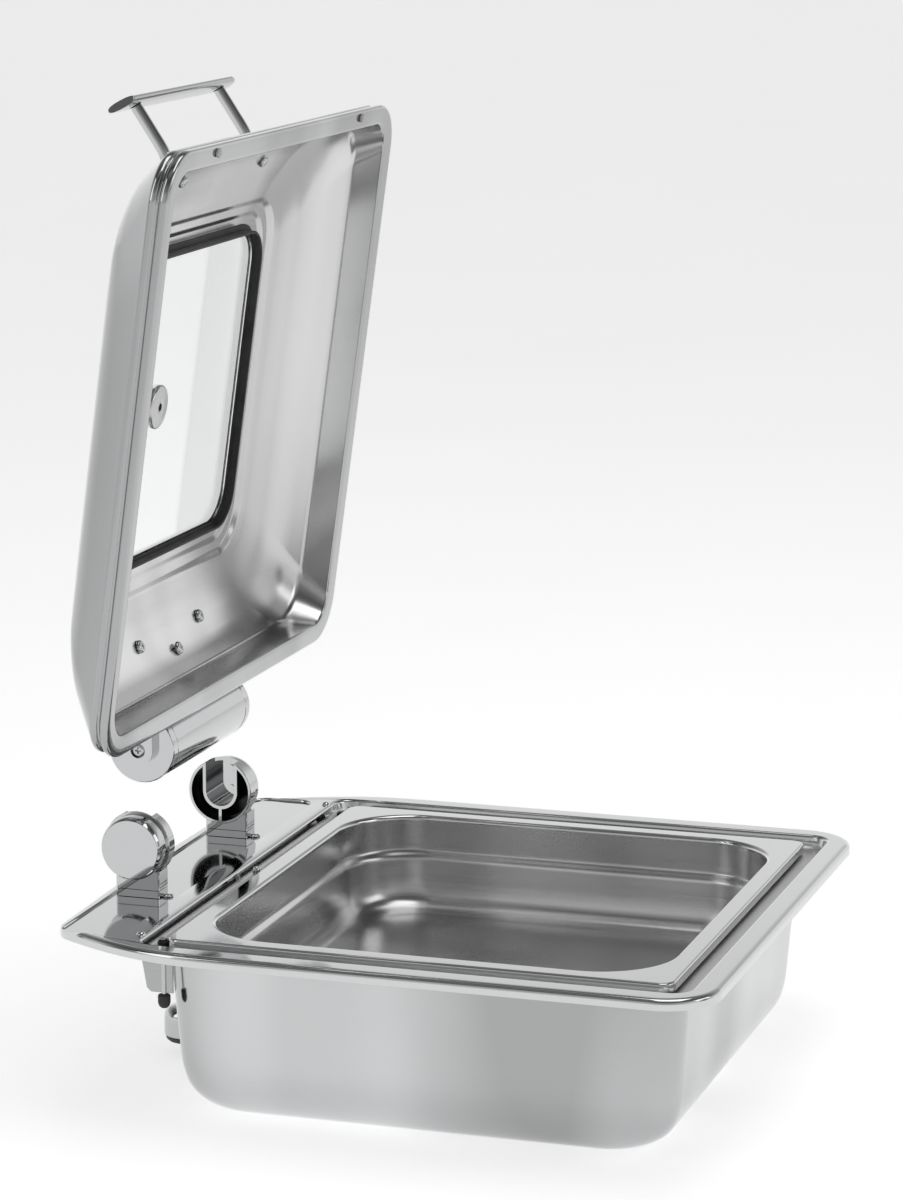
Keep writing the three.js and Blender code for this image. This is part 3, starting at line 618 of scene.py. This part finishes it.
piece(pan, "food_pan_skin", "food_pan", ["food_pan"], [POLISHED, SATIN], bevel=0, angle=40)

# ---- deck fittings ------------------------------------------------------------------------
stud = lathe("stud", round_profile([(0, -7.6), (2.5, -7.6), (2.5, -1.6), (1.9, -0.2), (0.9, 0.5), (0, 0.6)], [0, 0.2, 0.8, 0.8, 0.4, 0]), 48, (0, 167.5, H))
piece(stud, "stud_dome", "base", ["locating_stud"], CHROME, bevel=0)

br = block(-141, 141, 171.5, 232, H - 11, H - 9.6)
for s in (-1, 1):
    yz = [(171.5, H - 10), (195, H - 10), (189, H - 44), (186, H - 46.5), (171.5, H - 46.5)]
    join(br, push("side", yz, min(s * 139.5, s * 141), max(s * 139.5, s * 141)))
    for y in (208, 224):
        cut(br, cyl(2.4, -14, -8, (s * 80, y, H)))
    cut(br, cyl(3.3, -14, -8, (s * FOOT_X, FOOT_Y, H)))
piece(br, "deck_bracket_sheet", "base", ["deck_bracket"], SHEET, bevel=0.35)


def arc(cy, cz, r, a0, a1, n):
    return [(cy + r * math.cos(a0 + (a1 - a0) * i / n), cz + r * math.sin(a0 + (a1 - a0) * i / n)) for i in range(n + 1)]


for s, side in ((-1, "left"), (1, "right")):
    o = lathe("pad", [(1.8, -7.6), (3.6, -7.6), (3.6, -4.4), (3, -3.6), (1.8, -3.6), (1.8, -7.6)], 48, (s * PIN_X, PIN_Y, H))
    piece(o, f"pin_pad_ring_{side}", "base", [f"pin_pad_{side}"], RUBBER, bevel=0.2)
    o = lathe("pin", [(0, -44), (1.5, -44), (1.5, -3.2), (2.6, -3.2), (2.6, -2), (0, -2)], 48, (s * PIN_X, PIN_Y, H))
    piece(o, f"pin_rod_{side}", "base", [f"support_pin_{side}"], PLAIN, bevel=0.2)
    o = lathe("tip", [(0, -47.6), (2, -47.3), (3.4, -45.8), (4, -43.6), (4, -39.4), (3.4, -38.6), (1.8, -38.6), (1.8, -44.3), (0, -44.3)], 48, (s * PIN_X, PIN_Y, H), soften=0.5)
    piece(o, f"pin_cap_{side}", "base", [f"pin_tip_{side}"], RUBBER, bevel=0)
    o = lathe("leg", [(0, FOOT_Z + 24), (5, FOOT_Z + 24), (5, H - 11.3), (3, H - 11.3), (3, H - 6.2), (0, H - 6.2)], 48, (s * FOOT_X, FOOT_Y, 0))
    piece(o, f"rear_leg_rod_{side}", "base", [f"rear_leg_{side}"], PLAIN, bevel=0.3)
    o = lathe("foot", round_profile([(0, 4.3), (14.6, 4.3), (15, 4.8), (15, 17), (14.3, 20), (12, 22.6), (8.5, 23.7), (0, 23.7)], [0, 0.2, 0.3, 2, 2, 1.6, 2, 0]), SEG, (s * FOOT_X, FOOT_Y, FOOT_Z))
    piece(o, f"rear_foot_cap_{side}", "base", [f"rear_foot_{side}"], CHROME, bevel=0)
    o = lathe("fpad", [(0, 0), (11.8, 0), (13.6, 1.6), (14.4, 4), (0, 4)], SEG, (s * FOOT_X, FOOT_Y, FOOT_Z))
    piece(o, f"foot_pad_disc_{side}", "base", [f"foot_pad_{side}"], RUBBER, bevel=0.3)

    # post foot
    out = [(x + s * 80, y) for x, y in rr(8, 201.2, 231, 1.2, 5)]
    blk = prism(out, H - 1.3, H + 3.4)
    dome = lathe("dome", round_profile([(0, -1.3), (3.8, -1.3), (3.8, -0.5), (2.6, 0.2), (0, 0.5)], [0, 0, 0.4, 0.6, 0]), 48, (s * 80, 198.6, H))
    join(blk, dome)
    for y in (208, 224):
        cut(blk, cyl(2.4, -6, 5, (s * 80, y, H)))
    piece(blk, f"post_block_{side}", "base", [f"post_foot_{side}"], CHROME, bevel=0.35)

    # cup
    c = (0, AX_Y, AX_Z)
    cup = lathe("cup", round_profile([(0, CUP_IN), (RING_R, CUP_IN), (RING_R, CUP_STEP), (0, CUP_STEP)], [0, 0.5, 0.5, 0]), SEG, c, (s, 0, 0))
    face = [(0, CUP_STEP - 1), (FACE_R + 0.6, CUP_STEP - 1), (FACE_R + 0.6, CUP_OUT - 4), (FACE_R, CUP_OUT - 1.6), (FACE_R - 1.2, CUP_OUT), (0, CUP_OUT)]
    join(cup, lathe("face", round_profile(face, [0, 0, 1.5, 1, 0.25, 0]), SEG, c, (s, 0, 0)))
    join(cup, prism(out, H + 3.8, H + 16))
    hollow = lathe("hollow", [(0, CUP_IN - 2), (RING_R - 1.9, CUP_IN - 2), (RING_R - 1.9, CUP_STEP - 0.2), (FACE_R - 1.3, CUP_STEP - 0.2), (FACE_R - 1.3, 88.4), (0, 88.4)], 72, c, (s, 0, 0))
    UO = SLOT_R + 2.1
    uo = [(AX_Y + UO, AX_Z + 24)] + arc(AX_Y, AX_Z, UO, 0, -math.pi, 32) + [(AX_Y - UO, AX_Z + 24)]
    ui = [(AX_Y + SLOT_R, AX_Z + 30)] + arc(AX_Y, AX_Z, SLOT_R, 0, -math.pi, 32) + [(AX_Y - SLOT_R, AX_Z + 30)]
    X = lambda a, b: (a, b) if s > 0 else (-b, -a)
    wall = push("wall", uo, *X(CUP_IN + 0.2, 90))
    a0, a1 = X(CUP_IN + 0.2, 90)
    join(wall, block(a0, a1, AX_Y - 1, AX_Y + 1, AX_Z - 23, AX_Z - SLOT_R - 0.6))
    lim = [(0, 60), (RING_R - 0.5, 60), (RING_R - 0.5, CUP_STEP - 0.3), (FACE_R - 0.5, CUP_STEP - 0.3), (FACE_R - 0.5, 91), (0, 91)]
    keep(wall, lathe("lim", lim, 72, c, (s, 0, 0)))
    cut(cup, hollow)
    join(cup, wall)
    slot = push("slot", ui, *X(CUP_IN - 3, 86.4))
    keep(slot, lathe("lim", lim, 72, c, (s, 0, 0)))
    cut(cup, slot)
    c0, c1 = X(CUP_IN - 1, CUP_STEP - 0.4)
    cut(cup, block(c0, c1, AX_Y - SLOT_R, AX_Y + SLOT_R, AX_Z, AX_Z + 30))
    for z in (13, -1):
        join(cup, cyl(2.3, 85.4, 88, (0, AX_Y - 2, AX_Z + z), (s, 0, 0), 32))
    for y in (208, 224):
        cut(cup, cyl(2.4, -6, 8.6, (s * 80, y, H)))
    # faces inside the cup hollow take material index 1, the painted shade copy of the chrome
    for f in cup.data.polygons:
        x, y, z = f.center * 1000
        r = math.hypot(y - AX_Y, z - AX_Z)
        outside_u = abs(y - AX_Y) > UO - 0.15 or (z < AX_Z and r > UO - 0.15)
        f.material_index = 1 if CUP_IN + 0.25 < s * x < 88.6 and r < RING_R - 1.7 and outside_u and (s * x < CUP_STEP or r < FACE_R - 1.1) else 0
    piece(cup, f"post_cup_{side}", "base", [f"hinge_post_{side}"], [CHROME, CUP_PAINTED_SHADE], bevel=0.28, angle=38)
    for y, w in ((208, "front"), (224, "rear")):
        o = screw(4.2, 2.6, 2, 18.8, (s * 80, y, H - 11.3), (0, 0, 1))
        piece(o, f"deck_screw_{side}_{w}", "base", [f"post_screw_{side}_{w}"], PLAIN, bevel=0.12)

# ---- hinge unit ----------------------------------------------------------------------------
for s, side in ((-1, "left"), (1, "right")):
    c = (0, AX_Y, AX_Z)
    d = lathe("disc", round_profile([(0, DISC_IN), (BARREL_R - 0.4, DISC_IN), (BARREL_R, DISC_IN + 0.5), (BARREL_R, DISC_OUT - 0.6), (BARREL_R - 0.6, DISC_OUT), (0, DISC_OUT)], [0, 0.2, 0.2, 0.3, 0.3, 0]), SEG, c, (s, 0, 0))
    u = arc(AX_Y, AX_Z, BOSS_R, 0, -math.pi, 32)
    a0 = math.acos(-BOSS_R / 22)
    u += [(AX_Y + 22 * math.cos(a0 + (math.pi - 2 * a0) * i / 12), AX_Z + 22 * math.sin(a0 + (math.pi - 2 * a0) * i / 12)) for i in range(13)]
    e = (DISC_OUT - 0.5, BOSS_OUT) if s > 0 else (-BOSS_OUT, -DISC_OUT + 0.5)
    join(d, push("boss", u, *e))
    cut(d, lathe("bore", [(0, 60), (4.3, 60), (4.3, 67.6), (2.4, 67.6), (2.4, 72.6), (4.9, 72.6), (4.9, 77), (0, 77)], 48, c, (s, 0, 0)))
    piece(d, f"barrel_end_{side}", "hinge_unit", [f"hinge_end_disc_{side}"], CHROME, LIFTED, bevel=0.35)
    o = screw(4.5, 2.4, 2, 9.5, (s * 72.9, AX_Y, AX_Z), (-s, 0, 0))
    piece(o, f"barrel_screw_{side}", "hinge_unit", [f"hinge_end_screw_{side}"], PLAIN, LIFTED, bevel=0.12)
ax = lathe("axle", round_profile([(0, -67.3), (4, -67.3), (4, 67.3), (0, 67.3)], [0, 0.4, 0.4, 0]), 64, (0, AX_Y, AX_Z), (1, 0, 0))
for s in (-1, 1):
    cut(ax, cyl(2.3, 61, 68, (0, AX_Y, AX_Z), (s, 0, 0), 32))
piece(ax, "axle_rod", "hinge_unit", ["hinge_axle"], PLAIN, LIFTED, bevel=0)
o = lathe("core", [(4.3, -34), (15.6, -34), (16, -33.6), (16, 33.6), (15.6, 34), (4.3, 34), (4.3, -34)], SEG, (0, AX_Y, AX_Z), (1, 0, 0))
piece(o, "damper_drum", "hinge_unit", ["damper_core"], SHEET, LIFTED, bevel=0.2)

# ---- lid ---------------------------------------------------------------------------------------
L = lambda o, r, n=18: rr(LID_X - o, LID_F + o, LID_R - o, r, n)
outer = [
    (0, 1.2, 30, 1.0), (0, 5.2, 30, 1.8), (2.4, 6.4, 29.2, 0.7), (2.8, 7.8, 29, 0.7), (1.4, 9.2, 29.4, 1.4), (1.4, 12.4, 29.4, 2.0),
    (3.6, 14.8, 29.8, 3), (11.5, 24, 34, 6), (21, 35.2, 40, 6), (28, 40.8, 42, 5), (35, 45, 42, 7), (52, 51.9, 38, 9), (65, 55.6, 32, 1.4),
    (68.4, 58.6, 30.6, 1.4), (74, 59.6, 27.6, 1.3), (76.8, 61.8, 26.4, 1.3), (82, 62.4, 24.6, 1.5), (WIN, 62.4, 24, 0.3),
]
inner = [
    (WIN, 61.2, 24, 0.3), (82.4, 61.2, 24.4, 1.2), (77.4, 60.6, 26.2, 1.0), (74.6, 58.4, 27.4, 1.0), (69, 57.5, 30.2, 1.1), (65.6, 54.4, 31.6, 1.2),
    (52.4, 50.7, 37.8, 9), (35.6, 43.9, 42, 7), (28.8, 39.8, 42, 5), (22, 34.3, 40, 6), (13.2, 22.9, 34.6, 3), (13, 1.8, 20.6, 0.8),
    (12.2, 0.9, 21.2, 0.6), (10.8, 0.5, 22, 0.6), (4.4, 0, 26, 1.5), (1.4, 0, 28.8, 0.9),
]
rings = [(L(o, r), LID_Z + h, 0) for o, h, r, _ in outer]
rings += [(L(o, r), LID_Z + h, 1 if h > 1.9 else 0) for o, h, r, _ in inner]
shell = loft("lid", round_rings(rings, [x[3] for x in outer + inner], True), True)
WALL_N = Vector((0, 0.5, 0.866)).normalized()
rear_screws = [(x, y, LID_Z + h - 0.5) for x, y, h in ((-52.5, 158.2, 43.9), (52.5, 158.2, 43.9), (0, 168.4, 36.6))]
front_screws = [(-72, -147.4, LID_Z + 43.3), (72, -147.4, LID_Z + 43.3)]
NF = Vector((0, -0.5, 0.866)).normalized()
for p in rear_screws:
    cut(shell, cyl(2.4, -1, 5, p, WALL_N, 32))
for p in front_screws:
    cut(shell, cyl(2.4, -1, 5, p, NF, 32))
piece(shell, "lid_skin", "lid", ["lid_shell"], [LID_OUT, SATIN_LID], LID_M, bevel=0)

g = [(83.2, 60.9), (83.2, 60.1), (86.3, 59.7), (86.3, 52.6), (88.2, 52.6), (88.2, 58.2), (89.6, 58.2), (89.6, 59.2), (88.4, 59.2), (88.4, 62.6), (89.8, 62.6), (89.8, 63.4), (87.2, 63.6), (86.3, 62.8), (86.3, 60.9)]
gr = [(L(o, 24 - (o - 86.3) * 0.6), LID_Z + h, 0) for o, h in g]
piece(loft("gasket", round_rings(gr, [0.3, 0.3, 0.2, 0.7, 0.7, 0.3, 0.2, 0.2, 0.1, 0.1, 0.2, 0.3, 0.6, 0.3, 0.2], True), True), "window_seal", "lid", ["window_gasket"], RUBBER, LID_M, bevel=0)
VX, VY = -30.0, (LID_F + LID_R) / 2
gl = loft("glass", [(L(88.7, 22), LID_Z + 59.5), (L(88.7, 22), LID_Z + 62.3)], False)
cut(gl, cyl(4.6, 50, 70, (VX, VY, LID_Z)))
piece(gl, "window_pane", "lid", ["window_glass"], GLASS, LID_M, bevel=0.3)
vd = [(2.4, 56.3), (5, 55.9), (13.4, 56.5), (14.5, 57.7), (14.5, 59.2), (4.3, 59.2), (4.3, 62.8), (2.4, 62.8), (2.4, 56.3)]
piece(lathe("vd", round_profile(vd, [0, 0.8, 1.0, 0.6, 0.2, 0.1, 0.1, 0.1, 0]), SEG, (VX, VY, LID_Z)), "vent_washer", "lid", ["vent_disc"], VENT, LID_M, bevel=0.1)
vc = [(4.7, 62.7), (12, 62.7), (12, 64), (10.6, 65.4), (2.4, 65.8), (2.4, 63.1), (4.7, 63.1), (4.7, 62.7)]
piece(lathe("vc", round_profile(vc, [0, 0.2, 0.5, 0.8, 0.3, 0.1, 0.1, 0]), SEG, (VX, VY, LID_Z)), "vent_button", "lid", ["vent_cap"], VENT, LID_M, bevel=0.1)


def tube(name, pts, r, seg=40):
    """Round bar through the points, with flat ends."""
    pts = [Vector(p) for p in pts]
    verts, faces = [], []
    x = Vector((1, 0, 0))
    for i, p in enumerate(pts):
        t = (pts[min(i + 1, len(pts) - 1)] - pts[max(i - 1, 0)]).normalized()
        y = t.cross(x).normalized()
        for j in range(seg):
            a = 2 * math.pi * j / seg
            verts.append(tuple(p + x * r * math.cos(a) + y * r * math.sin(a)))
    for i in range(len(pts) - 1):
        for j in range(seg):
            n = (j + 1) % seg
            faces.append((i * seg + j, i * seg + n, (i + 1) * seg + n, (i + 1) * seg + j))
    faces += [tuple(range(seg)), tuple((len(pts) - 1) * seg + j for j in range(seg))]
    return new_object(name, verts, faces)


for i, (s, side) in enumerate(((-1, "left"), (1, "right"))):
    x, y, z = front_screws[i]
    P = lambda dd: (x, y + NF[1] * dd, z + NF[2] * dd)
    key = [P(3.2), P(12), (x, -163, LID_Z + 57.2), (x, -175.5, LID_Z + 67.6), (x, -188.6, LID_Z + 79.2)]
    leg = tube("leg", spline(key, 8), 3.8)
    join(leg, lathe("flange", round_profile([(0, 2.5), (5.2, 2.5), (5.2, 4.6), (0, 4.6)], [0, 0.2, 0.6, 0]), 48, (x, y, z), NF))
    cut(leg, cyl(2.3, 0, 9, (x, y, z), NF, 32))
    piece(leg, f"handle_bar_{side}", "lid", [f"handle_leg_{side}"], CHROME, LID_M, bevel=0.2)
    o = screw(4, 2.2, 2, 8.6, (x, y + 0.15, z - 0.26), NF)
    piece(o, f"handle_fixing_{side}", "lid", [f"handle_screw_{side}"], PLAIN, LID_M, bevel=0.12)

# grip: a blade with a long upper edge, a short lower edge and slanted ends
W, V = (-0.62, -0.785), (-0.785, 0.62)
prof = []
for i in range(56):
    a = i / 56 * 2 * math.pi
    e, f = math.cos(a), math.sin(a)
    prof.append((8.6 * math.copysign(abs(e) ** 0.8, e), 2.9 * math.copysign(abs(f) ** 0.75, f)))
verts, faces, k = [], [], 56
stations = [(-1, 0.9), (-0.998, 0.95), (-0.993, 0.98), (-0.98, 1), (-0.5, 1), (0.5, 1), (0.98, 1), (0.993, 0.98), (0.998, 0.95), (1, 0.9)]
for t, sc in stations:
    for a, b in prof:
        half = 91 - a * 0.42 - b * 0.6
        verts.append((t * half, -191 + W[0] * a * sc + V[0] * b * sc, LID_Z + 82.2 + W[1] * a * sc + V[1] * b * sc))
for i in range(len(stations) - 1):
    for j in range(k):
        n = (j + 1) % k
        faces.append((i * k + j, i * k + n, (i + 1) * k + n, (i + 1) * k + j))
faces += [tuple(range(k)), tuple((len(stations) - 1) * k + j for j in range(k))]
grip = new_object("grip", verts, faces)
for i in (0, 1):
    cut(grip, cyl(4.1, -6, 6, (front_screws[i][0], -188.6, LID_Z + 79.2), (0, -0.795, 0.607)))
piece(grip, "handle_blade", "lid", ["handle_grip"], HANDLE, LID_M, bevel=0.15, angle=45)

for s, side in ((-1, "left"), (1, "right")):
    o = lathe("bumper", round_profile([(0, -2.4), (2.1, -2.3), (3, -1.6), (3, -0.3), (0, -0.3)], [0, 0.6, 0.5, 0.2, 0]), 48, (s * 133, -178.2, LID_Z))
    piece(o, f"bumper_dome_{side}", "lid", [f"rim_bumper_{side}"], SILICONE, LID_M, bevel=0)

sl = [(20.2, -SLEEVE_HALF), (BARREL_R - 0.4, -SLEEVE_HALF), (BARREL_R, -SLEEVE_HALF + 0.5), (BARREL_R, SLEEVE_HALF - 0.5), (BARREL_R - 0.4, SLEEVE_HALF), (20.2, SLEEVE_HALF), (20.2, -SLEEVE_HALF)]
piece(lathe("sleeve", sl, 128, (0, AX_Y, AX_Z), (1, 0, 0)), "barrel_sleeve", "lid", ["hinge_sleeve"], CHROME, LID_M, bevel=0)
for s, side in ((-1, "left"), (1, "right")):
    o = lathe("bush", [(4.08, 46), (19.9, 46), (19.9, 60.8), (4.08, 60.8), (4.08, 46)], SEG, (0, AX_Y, AX_Z), (s, 0, 0))
    piece(o, f"bush_ring_{side}", "lid", [f"sleeve_bush_{side}"], BRASS, LID_M, bevel=0.3)
wall = [(152, LID_Z + 48.6), (159.3, LID_Z + 45.6), (166.4, LID_Z + 41.3), (173.5, LID_Z + 35.5), (183, LID_Z + 24.4), (185.7, LID_Z + 21.2)]
a1 = arc(AX_Y, AX_Z, BARREL_R + 0.3, math.pi * 1.02, math.pi * 0.66, 24)
yz = wall + a1 + [(201, AX_Z + 22), (176, LID_Z + 44.6), (155, LID_Z + 52.2)]
brk = push("bracket", yz, -60, 60)
for p in rear_screws:
    cut(brk, cyl(2.3, 0, 9, p, WALL_N, 32))
piece(brk, "hinge_bracket_block", "lid", ["hinge_bracket"], CHROME, LID_M, bevel=0.5)
for i, p in enumerate(rear_screws):
    o = screw(4.4, 2.4, 2, 7.4, (p[0], p[1] - 0.15, p[2] - 0.26), WALL_N)
    piece(o, f"bracket_screw_{i + 1}", "lid", [f"hinge_screw_{i + 1}"], PLAIN, LID_M, bevel=0.12)

# ---- floor, light, camera ----------------------------------------------------------------------
R = 14000
floor = new_object("floor", [(-R, -R, -0.3), (R, -R, -0.3), (R, R, -0.3), (-R, R, -0.3)], [(0, 1, 2, 3)])
fm, nt, bsdf = base_material("floor_paper")
bsdf.inputs["Roughness"].default_value = 0.9
nt.links.new(shade(nt, noise(nt, coords(nt, (1, 1, 1)), 3.0, 3.0), (0.88, 0.88, 0.88), (0.91, 0.91, 0.91)), bsdf.inputs["Base Color"])
floor.data.materials.append(fm)
bsdf.inputs["Emission Color"].default_value = (1, 1, 1, 1)
bsdf.inputs["Emission Strength"].default_value = 0.58

world = bpy.data.worlds.new("studio")
bpy.context.scene.world = world
world.use_nodes = True
nt = world.node_tree
bg = nt.nodes["Background"]
tc = node(nt, "ShaderNodeTexCoord")


def along(direction, stops, interpolation="EASE"):
    """Brightness by how far the sky direction leans towards one direction, 0 = away, 1 = towards."""
    d = node(nt, "ShaderNodeVectorMath", operation="DOT_PRODUCT")
    nt.links.new(tc.outputs["Generated"], d.inputs[0])
    d.inputs[1].default_value = tuple(Vector(direction).normalized())
    r = node(nt, "ShaderNodeMapRange")
    r.inputs["From Min"].default_value = -1
    nt.links.new(d.outputs["Value"], r.inputs["Value"])
    ramp = node(nt, "ShaderNodeValToRGB")
    cr = ramp.color_ramp
    cr.interpolation = interpolation
    while len(cr.elements) < len(stops):
        cr.elements.new(0.5)
    for e, (pos, v) in zip(cr.elements, stops):
        e.position = pos
        e.color = (v, v, v, 1)
    nt.links.new(r.outputs["Result"], ramp.inputs["Fac"])
    return ramp.outputs["Color"]


CAM_DIR = (0.9335, 0.2993, -0.1974)
front = along(CAM_DIR, [(0.0, 0.45), (0.10, 0.62), (0.26, 0.88), (0.40, 0.20), (0.52, 0.7), (0.7, 1.0)])
high = along((0, 0, 1), [(0.0, 1.0), (0.60, 1.0), (0.72, 0.45), (0.86, 0.14), (0.97, 0.35)])
mul = node(nt, "ShaderNodeMix", data_type="RGBA", blend_type="MULTIPLY")
mul.inputs["Factor"].default_value = 1.0
nt.links.new(front, mul.inputs["A"])
nt.links.new(high, mul.inputs["B"])
nt.links.new(mul.outputs["Result"], bg.inputs["Color"])
bg.inputs["Strength"].default_value = 1.0


def area(name, loc, at, sx, sy, watts):
    l = bpy.data.lights.new(name, "AREA")
    l.shape, l.size, l.size_y, l.energy = "RECTANGLE", sx, sy, watts
    o = bpy.data.objects.new(name, l)
    bpy.context.scene.collection.objects.link(o)
    o.location = loc
    o.rotation_mode = "QUATERNION"
    o.rotation_quaternion = (Vector(at) - Vector(loc)).to_track_quat("-Z", "Y")
    return o


area("top_box", (0.1, -0.3, 2.4), (0, 0, 0.1), 1.8, 1.2, 12)
area("left_box", (-1.6, 1.6, 1.5), (0, 0.1, 0.2), 0.9, 1.8, 6)
area("front_box", (0.2, -2.4, 1.3), (0, 0, 0.2), 1.6, 1.0, 7)

cam_data = bpy.data.cameras.new("camera")
cam = bpy.data.objects.new("camera", cam_data)
bpy.context.scene.collection.objects.link(cam)
cam_data.lens, cam_data.sensor_width, cam_data.sensor_fit = 123.79, 36.0, "AUTO"
cam_data.clip_start, cam_data.clip_end = 0.05, 60
d = Vector(CAM_DIR).normalized()
up = Vector((0.1879, 0.0603, 0.9803))
right = d.cross(up).normalized()
up = right.cross(d).normalized()
m = Matrix((right, up, -d)).transposed().to_4x4()
m.translation = Vector((-2.467273, -0.758672, 0.827633))
cam.matrix_world = m
bpy.context.scene.camera = cam
bpy.context.scene.view_settings.view_transform = "Standard"
